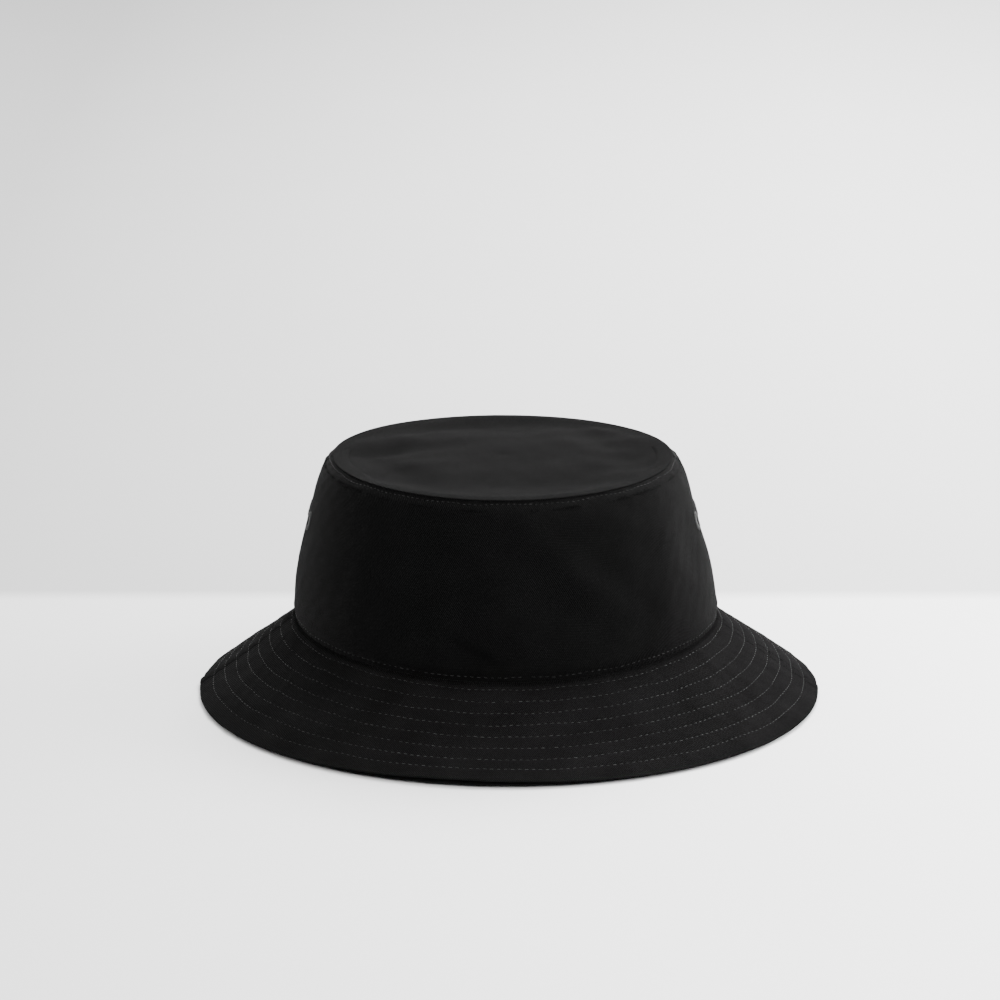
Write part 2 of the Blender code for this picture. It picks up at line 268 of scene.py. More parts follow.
def simulate_crown():
    """How far each point of the crown sags."""
    rest = sim_points()
    mesh = bpy.data.meshes.new("crown_sim")
    mesh.from_pydata(rest.tolist(), [], sim_faces())
    cloth_object = bpy.data.objects.new("crown_sim", mesh)
    bpy.context.collection.objects.link(cloth_object)
    hold = cloth_object.vertex_groups.new(name="hold")
    for ring in range(SIM_WALL_ROWS + SIM_TIP_ROWS):
        members = list(range(ring * SIM_AROUND, (ring + 1) * SIM_AROUND))
        hold.add(members, sim_hold(ring), "REPLACE")
    hold.add([len(rest) - 1], sim_hold(SIM_WALL_ROWS + SIM_TIP_ROWS), "REPLACE")
    settings = cloth_object.modifiers.new("cloth", "CLOTH").settings
    settings.quality = 5
    settings.mass = 0.02
    settings.tension_stiffness = 40
    settings.compression_stiffness = 40
    settings.shear_stiffness = 5
    settings.bending_stiffness = 5.0
    settings.vertex_group_mass = "hold"
    settings.pin_stiffness = 1.0
    settings.shrink_min = -SIM_SLACK
    for moment in range(1, SIM_FRAMES + 1):
        bpy.context.scene.frame_set(moment)
    evaluated = cloth_object.evaluated_get(bpy.context.evaluated_depsgraph_get())
    fallen = np.empty(len(rest) * 3)
    evaluated.data.vertices.foreach_get("co", fallen)
    bpy.data.objects.remove(cloth_object, do_unlink=True)
    bpy.context.scene.frame_set(1)
    return smoothed(sag_grid(fallen.reshape(-1, 3) - rest))


def sag_grid(moved):
    """The simulated movement as a grid of vectors, round the hat by up the wall and in over the tip."""
    rings = moved[:-1].reshape(SIM_WALL_ROWS + SIM_TIP_ROWS, SIM_AROUND, 3)
    middle = np.broadcast_to(moved[-1], (1, SIM_AROUND, 3))
    return np.concatenate([rings, middle]).transpose(1, 0, 2)


def smoothed(grid):
    """The grid with each column averaged with its neighbours, as stiff cloth does."""
    for _ in range(5):
        grid = (np.roll(grid, 1, axis=0) + 2 * grid + np.roll(grid, -1, axis=0)) / 4
    return grid


crown_sag = simulate_crown()


def wall_sag(angle, rise):
    return read_grid(crown_sag, angle, np.clip(rise / WALL_LENGTH, 0.0, 1.0) * SIM_WALL_ROWS)


def tip_sag(angle, share):
    """The tip's movement. Near its middle the angle stops mattering."""
    row = SIM_WALL_ROWS + SIM_TIP_ROWS * (1 - np.clip(share, 0.0, 1.0))
    near_rim = ease(share, 0.15, 0.75)[..., None]
    ring_mean = np.broadcast_to(crown_sag.mean(axis=0), crown_sag.shape)
    return read_grid(ring_mean, angle, row) * (1 - near_rim) + read_grid(crown_sag, angle, row) * near_rim


# Creases: angle and distance along the cloth of the middle, heading, half-length, half-width, depth.
# Angles and headings are in degrees, and a heading of 0 runs round the hat.

WALL_CREASES = (
    (-97, 0.011, -30, 0.014, 0.0026, -0.0016),
    (-98, 0.0165, -28, 0.018, 0.0045, 0.0010),
    (-70, 0.046, -42, 0.022, 0.0065, 0.0010),
    (-61, 0.047, -42, 0.024, 0.0060, -0.0009),
    (-73, 0.030, -40, 0.022, 0.0080, -0.0008),
    (-50, 0.062, -20, 0.022, 0.0070, 0.0008),
    (-118, 0.050, 30, 0.024, 0.0090, -0.0009),
    (-133, 0.040, 75, 0.022, 0.0080, 0.0008),
    (-40, 0.030, 80, 0.022, 0.0090, 0.0009),
    (60, 0.040, 60, 0.025, 0.0080, -0.0009),
    (105, 0.030, -50, 0.026, 0.0080, 0.0009),
    (140, 0.050, 35, 0.022, 0.0080, -0.0008),
)
BRIM_CREASES = (
    (-149, 0.020, 80, 0.016, 0.0022, 0.0007),
    (-145, 0.016, 88, 0.014, 0.0020, -0.0004),
    (-141, 0.020, 84, 0.018, 0.0024, 0.0007),
    (-136, 0.012, 90, 0.010, 0.0020, -0.0004),
    (-131, 0.012, 86, 0.012, 0.0022, 0.0005),
    (-158, 0.030, 75, 0.014, 0.0030, 0.0006),
    (-30, 0.016, 95, 0.012, 0.0030, 0.0004),
    (35, 0.018, 90, 0.014, 0.0028, 0.0006),
    (128, 0.022, 85, 0.016, 0.0028, 0.0005),
)


def crease_height(creases, angle, along, radius):
    """The height of the listed soft creases, above the smooth cloth or below it."""
    total = np.zeros(np.broadcast(angle, along).shape)
    for middle, distance, heading, length, width, depth in creases:
        aside = turn_between(angle, math.radians(middle)) * radius
        beyond = along - distance
        turn = math.radians(heading)
        lengthwise = aside * math.cos(turn) + beyond * math.sin(turn)
        crosswise = beyond * math.cos(turn) - aside * math.sin(turn)
        total = total + depth * bump(crosswise, width) * bump(lengthwise, length)
    return total


# Rows of topstitching

def row_wander(angle, seed):
    """How far a sewn row strays from its line."""
    return 0.00022 * unevenness(angle, np.zeros_like(angle), seed, 24, 0.0)


def wall_rows():
    """Distance up the wall and seed of each row on it."""
    return (
        ("tip_stitches", WALL_LENGTH - TIP_STITCH_DROP, 11),
        ("crown_base_stitches", BASE_STITCH_RISE, 12),
        ("crown_edge_stitches", EDGE_STITCH_RISE, 13),
    )


def brim_rows():
    """Distance out along the brim and seed of each quilting row."""
    return [(FIRST_ROW + ROW_SPACING * row, 21 + row) for row in range(BRIM_ROWS)]


def stitch_count(radius):
    return round(TAU * radius / STITCH_PITCH)


def row_dent(angle, along, place, seed, count):
    """The groove that a row of stitches pulls into the cloth, deepest at each needle hole."""
    distance = along - place - row_wander(angle, seed)
    holes = np.cos(angle * count)
    return bump(distance, 0.0007) * (0.7 + 0.3 * holes)


# The outer faces, with their detail

def wall_base(angle, rise):
    return wall_form(angle, rise) + wall_sag(angle, rise)


def side_seam_groove(angle, radius):
    """A narrow groove at each side seam."""
    arc = np.minimum(np.abs(turn_between(angle, 0.0)), np.abs(turn_between(angle, HALF))) * radius
    return bump(arc, 0.0007)


BASE_PUFF = 0.00055  # how far the wall puffs out above its base stitches
WALL_SEAM_GROOVE = 0.00070


def wall_detail(angle, rise):
    """The height of the wall's detail over its sagged form."""
    soft = ease(rise, 0.003, 0.014) * ease(WALL_LENGTH - rise, 0.003, 0.012)
    height = soft * crease_height(WALL_CREASES, angle, rise, BASE_RADIUS * 0.95)
    height = height + soft * 0.00016 * unevenness(angle, rise, 41, 9, 14)
    height = height + 0.00005 * unevenness(angle, rise, 42, 60, 110)
    height = height + BASE_PUFF * bump(rise - 0.0052, 0.0022)
    height = height - WALL_SEAM_GROOVE * side_seam_groove(angle, BASE_RADIUS)
    for _, place, seed in wall_rows():
        height = height - STITCH_DENT * row_dent(angle, rise, place, seed, stitch_count(BASE_RADIUS))
    return height


def wall(angle, rise):
    """The crown wall's finished outer face."""
    raised = wall_detail(angle, rise)[..., None]
    return wall_base(angle, rise) + raised * normal_of(wall_base, angle, rise)


def tip_base(angle, share):
    return tip_form(angle, share) + tip_sag(angle, share)


# Soft folds of the tip: place of the middle (x, y), heading in degrees, half-length, half-width, height
TIP_FOLDS = (
    (-0.048, 0.010, 12, 0.034, 0.0110, -0.0016),
    (-0.040, -0.018, 3, 0.032, 0.0110, 0.0008),
    (-0.046, 0.032, 24, 0.026, 0.0100, 0.0012),
    (0.020, -0.040, 6, 0.024, 0.0120, -0.0010),
    (-0.006, -0.058, -3, 0.020, 0.0090, 0.0007),
    (0.056, 0.000, -38, 0.020, 0.0120, -0.0009),
    (0.034, 0.044, -14, 0.028, 0.0110, 0.0011),
    (0.000, 0.020, 2, 0.060, 0.0260, 0.0021),
)


def tip_detail(angle, share):
    """The tip's soft folds, most of which start where a side seam holds its rim."""
    east, north = TIP_RADIUS * share * np.cos(angle), TIP_RADIUS * share * np.sin(angle)
    height = 0.0
    for x, y, heading, length, width, depth in TIP_FOLDS:
        turn = math.radians(heading)
        lengthwise = (east - x) * math.cos(turn) + (north - y) * math.sin(turn)
        crosswise = (north - y) * math.cos(turn) - (east - x) * math.sin(turn)
        height = height + depth * bump(crosswise, width) * bump(lengthwise, length)
    ripple = np.sin(east * 210 + 0.6) * np.sin(north * 260 + east * 90) + np.sin(east * 90 - north * 330)
    return (height + 0.00005 * ripple) * ease(1 - share, 0.0, 0.16)


def tip(angle, share):
    """The tip's finished upper face."""
    point = tip_base(angle, share)
    return point + tip_detail(angle, share)[..., None] * UP


def brim_lay(angle, run):
    """The brim with its slow waves, as its lower cloth lies."""
    lift = 0.00035 * (1 + unevenness(angle, run, 61, 7, 0.0)) * ease(run, 0.010, 0.035)
    return brim_form(angle, run) + (lift * ease(BRIM_LENGTH - run, 0.0, 0.018))[..., None] * UP


EDGE_PARTING = 0.0021  # how far the brim's two cloths part at the front edge


def brim_base(angle, run):
    """The brim's upper cloth, which parts from the lower one along the front edge."""
    at_front = bump(turn_between(angle, math.radians(-99)), 0.42)
    away = EDGE_PARTING * at_front * ease(run, BRIM_LENGTH - 0.016, BRIM_LENGTH)
    return brim_lay(angle, run) + away[..., None] * UP


def seam_allowance(angle, radius):
    """The pressed seam allowance beside each brim side seam, seen as a raised band."""
    from_left = -turn_between(angle, HALF) * radius
    from_right = -turn_between(angle, 0.0) * radius
    left_band = ease(from_left, -0.0035, 0.0050) * ease(0.0130 - from_left, 0.0, 0.0060)
    right_band = ease(from_right, 0.0002, 0.0012) * ease(0.0080 - from_right, 0.0, 0.0012)
    return left_band, right_band


HOLE_DENT = 0.00008  # how much deeper the quilting is at a needle hole
BASE_GROOVE = 0.0014  # how deep the brim is drawn down along the base seam
LEFT_BAND = 0.00080
RIGHT_BAND = 0.00035
BRIM_SEAM_GROOVE = 0.00025


def quilting(angle, run):
    """The quilted brim: each row pulls a groove, and the cloth puffs between the rows."""
    height = 0.0
    for place, seed in brim_rows():
        distance = run - place - row_wander(angle, seed)
        count = stitch_count(BASE_RADIUS + BRIM_ALONG.x * place)
        height = height - STITCH_DENT * bump(distance, 0.0011)
        height = height - HOLE_DENT * bump(distance, 0.0006) * np.cos(angle * count)
    return height


def brim_detail(angle, run):
    """The height of the brim's detail over its form."""
    radius = BASE_RADIUS + BRIM_ALONG.x * run
    left_band, right_band = seam_allowance(angle, radius)
    row_pull = -quilting(angle, run) / STITCH_DENT
    height = crease_height(BRIM_CREASES, angle, run, radius) * ease(run, 0.0, 0.004)
    height = height - BASE_GROOVE * bump(run, 0.0007)
    height = height + 0.00012 * unevenness(angle, run, 71, 40, 60)
    height = height + 0.00006 * unevenness(angle, run, 72, 120, 160)
    height = height + (LEFT_BAND * left_band + RIGHT_BAND * right_band) * (1 - 0.75 * row_pull)
    height = height - BRIM_SEAM_GROOVE * side_seam_groove(angle, radius)
    return height + quilting(angle, run)


def brim(angle, run):
    """The brim's finished upper face."""
    raised = brim_detail(angle, run)[..., None]
    return brim_base(angle, run) + raised * normal_of(brim_base, angle, run, -1)


UNDER_DEPTH = 0.0019  # from the brim's upper face to its under face


def above_floor(height):
    """Heights eased so that none is below the floor."""
    return 0.5 * (height + np.sqrt(height**2 + 0.0003**2))


def under(angle, run):
    """The brim's under face, which faces down."""
    depth = UNDER_DEPTH + 0.6 * quilting(angle, run) + 0.00008 * unevenness(angle, run, 73, 50, 80)
    point = brim_lay(angle, run) - depth[..., None] * normal_of(brim_lay, angle, run, -1)
    point[..., 2] = above_floor(point[..., 2])
    return point


# Cloth meshes

def add_mesh(name, points, faces, material, corner_place):
    """A smooth mesh object with the cloth's own place, in metres, as its UV map."""
    used, compact = np.unique(np.concatenate([part.ravel() for part in faces]), return_inverse=True)
    sizes = np.concatenate([np.full(len(part), part.shape[1]) for part in faces])
    starts = np.concatenate([[0], np.cumsum(sizes)[:-1]])
    mesh = bpy.data.meshes.new(name)
    mesh.vertices.add(len(used))
    mesh.vertices.foreach_set("co", points[used].astype(np.float32).ravel())
    mesh.loops.add(len(compact))
    mesh.loops.foreach_set("vertex_index", compact.astype(np.int32))
    mesh.polygons.add(len(sizes))
    mesh.polygons.foreach_set("loop_start", starts.astype(np.int32))
    mesh.update(calc_edges=True)
    mesh.shade_smooth()
    layer = mesh.uv_layers.new(name="cloth")
    layer.data.foreach_set("uv", corner_place[used][compact].astype(np.float32).ravel())
    made = bpy.data.objects.new(name, mesh)
    made.data.materials.append(material)
    bpy.context.collection.objects.link(made)
    return made


def cloth_mesh(name, outer, inner, material, place, closed=False, keep=None):
    """A closed sheet between two grids of points."""
    across, along = outer.shape[:2]
    index = np.arange(across * along).reshape(across, along)
    here = index if closed else index[:-1]
    after = np.roll(index, -1, axis=0)[: len(here)]
    keep = np.ones((len(here), along - 1), bool) if keep is None else keep
    corners = here[:, :-1], after[:, :-1], after[:, 1:], here[:, 1:]
    offset = across * along
    outside = np.stack(corners, axis=-1)[keep]
    faces = [outside, outside[:, ::-1] + offset]
    for side, alone in enumerate(lone_sides(keep, closed)):
        start, end = corners[side][alone], corners[(side + 1) % 4][alone]
        faces.append(np.stack([end, start, start + offset, end + offset], axis=-1))
    points = np.concatenate([outer.reshape(-1, 3), inner.reshape(-1, 3)])
    flat = np.concatenate([place.reshape(-1, 2)] * 2)
    return add_mesh(name, points, faces, material, flat)


def lone_sides(keep, closed):
    """For each of a face's four sides, which kept faces have no kept neighbour there."""
    padded = np.pad(keep, 1)
    if closed:
        padded[0, 1:-1], padded[-1, 1:-1] = keep[-1], keep[0]
    neighbours = padded[1:-1, :-2], padded[2:, 1:-1], padded[1:-1, 2:], padded[:-2, 1:-1]
    return [keep & ~beside for beside in neighbours]


def grid_normals(points, closed=False):
    """Normals of a grid of points."""
    if closed:
        across = np.roll(points, -1, axis=0) - np.roll(points, 1, axis=0)
    else:
        across = np.gradient(points, axis=0)
    normal = np.cross(across, np.gradient(points, axis=1))
    return normal / np.maximum(np.linalg.norm(normal, axis=-1, keepdims=True), 1e-12)


def fold_over(surface, form, angle, row, heading, radius, tuck, facing=1):
    """Columns of points that turn a cloth's edge under: a half circle, then a flat strip."""
    point, normal = surface(angle, row), normal_of(form, angle, row, facing)
    ahead = surface(angle, row + heading * 0.0004) - surface(angle, row - heading * 0.0004)
    ahead = unit(ahead)
    columns = []
    for turn in np.linspace(0, HALF, 8)[1:]:
        columns.append(point + ahead * radius * math.sin(turn) - normal * radius * (1 - math.cos(turn)))
    columns += [columns[-1] - ahead * tuck * share for share in (0.2, 0.5, 1.0)]
    return columns


def panel_angles(side, step, radius, gap):
    """Angles from one side seam to the other, over the front (-1) or the back (1)."""
    count = round(HALF * radius / step)
    margin = gap / radius
    angles = np.linspace(margin, HALF - margin, count + 1)
    return angles if side > 0 else angles - HALF


def rows_between(low, high, step, places):
    """Rows along the cloth: evenly spaced, and closer together at each sewn row."""
    fine = 0.0004
    rows = set(np.linspace(low, high, round((high - low) / step) + 1))
    for place in places:
        rows = {row for row in rows if abs(row - place) > 3.4 * fine}
        rows |= {place + fine * offset for offset in range(-3, 4)}
    return sorted(row for row in rows if low <= row <= high)


def flat_cone(angle, middle, radius, slope):
    """The place in the flat cut of a cloth that is sewn into a cone."""
    turn = turn_between(angle, middle) * slope
    reach = radius / slope
    return np.stack(np.broadcast_arrays(reach * np.sin(turn), -reach * np.cos(turn)), axis=-1)


def panel_place(angle, middle, distances, base_radius, along):
    """Flat places of a panel's grid, from each column's distance along the cloth."""
    radius = base_radius + along.x * np.array(distances)
    return flat_cone(angle[:, None], middle, radius[None, :], abs(along.x))


def tuck_distances(row, heading, radius, tuck):
    """The distance along the cloth of each column that fold_over makes."""
    arc = [radius * turn for turn in np.linspace(0, HALF, 8)[1:]]
    arc += [arc[-1] + tuck * share for share in (0.2, 0.5, 1.0)]
    return [row + heading * length for length in arc]


# Materials

class Nodes:
    """A node tree, with short ways to add nodes to it. Each gives the new node's output."""

    def __init__(self, owner):
        owner.use_nodes = True
        self.nodes, self.links = owner.node_tree.nodes, owner.node_tree.links

    def add(self, kind, inputs):
        """A new node, with each input linked or set."""
        made = self.nodes.new("ShaderNode" + kind)
        for socket, value in inputs.items():
            if isinstance(value, bpy.types.NodeSocket):
                self.links.new(value, made.inputs[socket])
            else:
                made.inputs[socket].default_value = value
        return made

    def math(self, operation, *values):
        made = self.add("Math", dict(enumerate(values)))
        made.operation = operation
        return made.outputs[0]

    def dot(self, vector, direction):
        made = self.add("VectorMath", {0: vector, 1: direction})
        made.operation = "DOT_PRODUCT"
        return made.outputs["Value"]

    def noise(self, place, scale, detail=2.0):
        return self.add("TexNoise", {"Vector": place, "Scale": scale, "Detail": detail}).outputs["Fac"]

    def grain(self, place, scale, strength):
        """Fine noise about zero."""
        centred = self.math("SUBTRACT", self.noise(place, scale, 1.0), 0.5)
        return self.math("MULTIPLY", centred, strength)

    def wave(self, place, direction, pitch):
        """A sine wave of this pitch along a direction."""
        return self.math("SINE", self.math("MULTIPLY", self.dot(place, direction), TAU / pitch))

    def ramp(self, value, *stops):
        """A colour ramp from (place, grey or colour) stops."""
        made = self.add("ValToRGB", {"Fac": value})
        elements = made.color_ramp.elements
        while len(elements) < len(stops):
            elements.new(0.5)
        for element, (place, shade) in zip(elements, stops):
            colour = (shade, shade, shade) if isinstance(shade, float) else shade
            element.position = place
            element.color = (*colour, 1.0)
        return made.outputs["Color"]

    def bump(self, height, distance, strength, under=None):
        inputs = {"Height": height, "Distance": distance, "Strength": strength}
        if under is not None:
            inputs["Normal"] = under
        return self.add("Bump", inputs).outputs["Normal"]

    def multiplied(self, first, second):
        """One colour darkened by another."""
        made = self.nodes.new("ShaderNodeMix")
        made.data_type = "RGBA"
        made.blend_type = "MULTIPLY"
        made.inputs["Factor"].default_value = 1.0
        self.links.new(first, made.inputs["A"])
        self.links.new(second, made.inputs["B"])
        return made.outputs["Result"]

    def cloth_place(self):
        """The place in the flat cloth, in metres."""
        made = self.nodes.new("ShaderNodeUVMap")
        made.uv_map = "cloth"
        return made.outputs["UV"]

    def object_place(self):
        return self.nodes.new("ShaderNodeTexCoord").outputs["Object"]

    def shade(self, colour, normal, **values):
        """Feeds the surface shader, and sets what is the same all over."""
        shader = self.nodes["Principled BSDF"]
        self.links.new(colour, shader.inputs["Base Color"])
        if normal is not None:
            self.links.new(normal, shader.inputs["Normal"])
        for socket, value in values.items():
            shader.inputs[socket.replace("_", " ")].default_value = value


def new_material(name):
    material = bpy.data.materials.new(name)
    return material, Nodes(material)


TWILL_PITCH = 0.00075
TWILL_HEADING = math.radians(-58)
FLOAT_LENGTH = 0.00045


def twill(name, dark=0.0004, light=0.0082, sheen=0.021, gloss=0.016):
    """Black cotton twill: diagonal ribs, each a run of short floats, with a worn grey bloom."""
    material, tree = new_material(name)
    place = tree.cloth_place()
    along = (math.cos(TWILL_HEADING), math.sin(TWILL_HEADING), 0.0)
    across = (-math.sin(TWILL_HEADING), math.cos(TWILL_HEADING), 0.0)
    wobble = tree.math("MULTIPLY", tree.noise(place, 260), 1.6)
    rib_phase = tree.math("MULTIPLY", tree.dot(place, across), TAU / TWILL_PITCH)
    rib = tree.math("MULTIPLY", tree.math("SINE", tree.math("ADD", rib_phase, wobble)), 1.5)
    float_phase = tree.math("MULTIPLY", tree.dot(place, along), TAU / FLOAT_LENGTH)
    skewed = tree.math("ADD", float_phase, tree.math("MULTIPLY", rib_phase, 0.5))
    weave = tree.math("ADD", rib, tree.math("MULTIPLY", tree.math("SINE", skewed), 0.35))
    height = tree.math("ADD", weave, tree.grain(place, 2600, 3.0))
    speckled = tree.math("ADD", height, tree.grain(place, 1700, 4.5))
    shade = tree.math("MULTIPLY_ADD", speckled, 0.22, 0.4)
    yarn = tree.ramp(shade, (0.05, dark), (0.62, (dark + light) / 2.4), (0.98, light))
    bloom = tree.ramp(tree.noise(place, 55, 4.0), (0.3, 0.72), (0.7, 1.0))
    soft = tree.bump(tree.noise(place, 480, 3.0), 0.0002, 0.35)
    normal = tree.bump(height, 0.00008, 0.8, soft)
    finish = {"Roughness": 0.8, "Sheen_Weight": sheen, "Sheen_Roughness": 0.2, "Specular_IOR_Level": gloss}
    tree.shade(tree.multiplied(yarn, bloom), normal, **finish)
    return material


def thread(name, dark, light, roughness=0.55, gloss=0.10):
    """Spun sewing thread: fine ply, with darker and lighter lengths."""
    material, tree = new_material(name)
    place = tree.object_place()
    ply = tree.noise(place, 3200, 2.0)
    tone = tree.ramp(ply, (0.3, dark), (0.7, light))
    patches = tree.ramp(tree.noise(place, 420, 2.0), (0.35, 0.12), (0.7, 1.0))
    finish = {"Roughness": roughness, "Sheen_Weight": gloss / 2, "Specular_IOR_Level": gloss}
    tree.shade(tree.multiplied(tone, patches), tree.bump(ply, 0.00006, 0.7), **finish)
    return material


def ribbed(name, pitch, dark, light):
    """A woven band or tape: fine ribs straight across, and yarn grain."""
    material, tree = new_material(name)
    place = tree.cloth_place()
    weave = tree.math("ADD", tree.wave(place, (1, 0, 0), pitch), tree.wave(place, (0, 1, 0), pitch * 0.8))
    height = tree.math("ADD", weave, tree.math("MULTIPLY", tree.noise(place, 2400, 1.0), 1.5))
    shade = tree.math("MULTIPLY_ADD", height, 0.16, 0.38)
    yarn = tree.ramp(shade, (0.1, dark), (0.9, light))
    wear = tree.ramp(tree.noise(place, 60, 3.0), (0.3, 0.75), (0.7, 1.0))
    finish = {"Roughness": 0.7, "Sheen_Weight": 0.06, "Specular_IOR_Level": 0.12}
    tree.shade(tree.multiplied(yarn, wear), tree.bump(height, 0.00006, 0.8), **finish)
    return material


def nonwoven(name):
    """Pressed interlining: pale fibres in every direction."""
    material, tree = new_material(name)
    fibres = tree.noise(tree.cloth_place(), 900, 6.0)
    colour = tree.ramp(fibres, (0.3, 0.35), (0.7, 0.62))
    tree.shade(colour, tree.bump(fibres, 0.0001, 0.8), Roughness=0.9, Sheen_Weight=0.2)
    return material


def satin_ribbon(name):
    """White woven label ribbon, faintly ribbed, with uneven whiteness."""
    material, tree = new_material(name)
    place = tree.cloth_place()
    rib = tree.wave(place, (0, 1, 0), 0.0003)
    mottle = tree.noise(place, 180, 4.0)
    tone = tree.ramp(mottle, (0.25, (0.60, 0.59, 0.56)), (0.75, (0.78, 0.77, 0.74)))
    tree.shade(tone, tree.bump(rib, 0.00003, 0.6), Roughness=0.42, Sheen_Weight=0.15)
    return material


def studio_floor(name, line, near, far):
    """A matt white table with painted shade that darkens it towards the left, where less light falls, and a
    darker ground beyond its far edge.
    """
    material, tree = new_material(name)
    place = tree.object_place()
    depth = tree.dot(place, (0, 1, 0))
    beyond = tree.math("MULTIPLY_ADD", tree.math("SUBTRACT", depth, line), 60.0, 0.5)
    beyond.node.use_clamp = True
    tone = tree.ramp(beyond, (0.0, near), (1.0, far))
    # Painted shade: the colour darkens towards the left, standing in for the weaker light there
    aside = tree.math("MULTIPLY_ADD", tree.dot(place, (1, 0, 0)), 1.0, 0.5)
    tone = tree.multiplied(tone, tree.ramp(aside, (0.15, 0.46), (0.75, 1.0)))
    mottle = tree.ramp(tree.noise(place, 6, 3.0), (0.3, 0.985), (0.7, 1.0))
    tree.shade(tree.multiplied(tone, mottle), None, Roughness=0.85)
    return material


TWILL_CLOTH = twill("black_twill")
# The brim's and the tip's cloths are lit copies of the crown's black twill: their colour is lighter and
# their sheen set apart to match how light falls on each, which is painted light
BRIM_TWILL = twill("black_twill_brim_painted_light", dark=0.0009, light=0.0165, sheen=0.002, gloss=0.004)
TIP_TWILL = twill("black_twill_tip_painted_light", dark=0.0005, light=0.0100, sheen=0.013, gloss=0.010)
# The topstitch thread's colour is several times lighter than the black cloth's: a painted sheen for the
# glossy thread's highlights
THREAD = thread("black_topstitch_thread_painted_sheen", 0.010, 0.038)
# A darker, duller copy of the topstitch thread: painted shade for the lowest base row, which lies in the
# shade under the wall's puffed lip
PAINTED_SHADE_THREAD = thread("black_edge_thread_painted_shade", 0.002, 0.006, gloss=0.01)
EYELET_THREAD = thread("black_eyelet_thread", 0.005, 0.020, 0.45, 0.16)
BAND = ribbed("black_sweatband", 0.0009, 0.004, 0.016)
TAPE = ribbed("black_seam_tape", 0.0006, 0.005, 0.020)
INTERLINING = nonwoven("interlining")
RIBBON = satin_ribbon("white_ribbon")


# Pieces

def belongs(piece, slot, *nodes):
    """Rides a piece on the hat, and hides the parts of the frame that it stands for."""
    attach(piece, "hat")
    if nodes:
        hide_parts(*nodes)
    return piece


SIDES = {"front": -1, "back": 1}
PANEL_STEP = 0.00085
EYELET_CLEARANCE = 0.0030  # from an eyelet's middle to the nearest cloth
BASE_TUCK = 0.0060  # how much cloth is folded in at each edge
TOP_TUCK = 0.0050
BRIM_TUCK = 0.0045
EYELET_ANGLE = EYELET_FROM_SEAM / (BASE_RADIUS + WALL_ALONG.x * EYELET_RISE)


def eyelet_spots():
    """Angle of each eyelet, by name."""
    return {
        "right_front": -EYELET_ANGLE,
        "right_back": EYELET_ANGLE,
        "left_front": -HALF + EYELET_ANGLE,
        "left_back": HALF - EYELET_ANGLE,
    }


def away_from_eyelets(angle, rows):
    """Which of the wall's faces are clear of the eyelet holes."""
    middle_angle = (angle[1:] + angle[:-1])[:, None] / 2
    middle_row = (np.array(rows)[1:] + np.array(rows)[:-1])[None, :] / 2
    clear = np.ones((len(angle) - 1, len(rows) - 1), bool)
    radius = BASE_RADIUS + WALL_ALONG.x * EYELET_RISE
    for spot in eyelet_spots().values():
        aside = turn_between(middle_angle, spot) * radius
        clear &= np.hypot(aside, middle_row - EYELET_RISE) > EYELET_CLEARANCE
    return clear


def crown_side(side):
    """One half of the crown wall, with its top and base edges folded in."""
    heading = SIDES[side]
    angle = panel_angles(heading, PANEL_STEP, BASE_RADIUS, SEAM_GAP)
    low, high = FOLD + 0.0003, WALL_LENGTH - TOP_FOLD - 0.00005
    rows = rows_between(low, high, 0.0016, [place for _, place, _ in wall_rows()])
    base = fold_over(wall, wall_form, angle, low, -1, FOLD, BASE_TUCK)
    top = fold_over(wall, wall_form, angle, high, 1, TOP_FOLD, TOP_TUCK)
    outer = np.stack(base[::-1] + [wall(angle, row) for row in rows] + top, axis=1)
    distances = tuck_distances(low, -1, FOLD, BASE_TUCK)[::-1] + rows
    distances += tuck_distances(high, 1, TOP_FOLD, TOP_TUCK)
    inner = outer - CLOTH * grid_normals(outer)
    clear = np.ones((len(angle) - 1, outer.shape[1] - 1), bool)
    clear[:, len(base) : len(base) + len(rows) - 1] = away_from_eyelets(angle, rows)
    place = panel_place(angle, heading * HALF / 2, distances, BASE_RADIUS, WALL_ALONG)
    piece = cloth_mesh(f"crown_wall_{side}", outer, inner, TWILL_CLOTH, place, keep=clear)
    belongs(piece, "twill", f"crown_side_{side}")


TIP_TUCK = (0.0015, 0.004, 0.007)  # how far in the rows of the tip's tucked edge lie


def crown_top():
    """The round tip, rolled over its rim and tucked in."""
    count = 420
    angle = np.arange(count) / count * TAU
    shares = [1 - (1 - step / 46) ** 1.25 for step in range(47)][::-1]
    radial = [tip(angle, np.full(count, share)) for share in shares]
    rim, outward = radial[0], radial[0] - radial[1]
    outward[:, 2] *= 0.3
    outward = unit(outward)
    roll = []
    for turn in np.linspace(0, HALF, 10)[1:]:
        roll.append(rim + outward * RIM_ROUND * math.sin(turn) - UP * RIM_ROUND * (1 - math.cos(turn)))
    roll += [roll[-1] - outward * reach - UP * 0.02 * reach for reach in TIP_TUCK]
    outer = np.stack((radial[::-1] + roll), axis=1)[:, ::-1]
    normal = grid_normals(outer, closed=True)
    normal[:, -1] = UP
    inner = outer - CLOTH * normal
    radii = [share * TIP_RADIUS for share in shares[::-1]]
    radii += [TIP_RADIUS + RIM_ROUND * turn for turn in np.linspace(0, HALF, 10)[1:]]
    radii += [radii[-1] + reach for reach in TIP_TUCK]
    reach = np.array(radii[::-1])[None, :]
    place = np.stack([reach * np.cos(angle)[:, None], reach * np.sin(angle)[:, None]], axis=-1)
    piece = cloth_mesh("crown_top", outer, inner, TIP_TWILL, place, closed=True)
    merge_middle(piece)
    belongs(piece, "twill", "crown_tip")


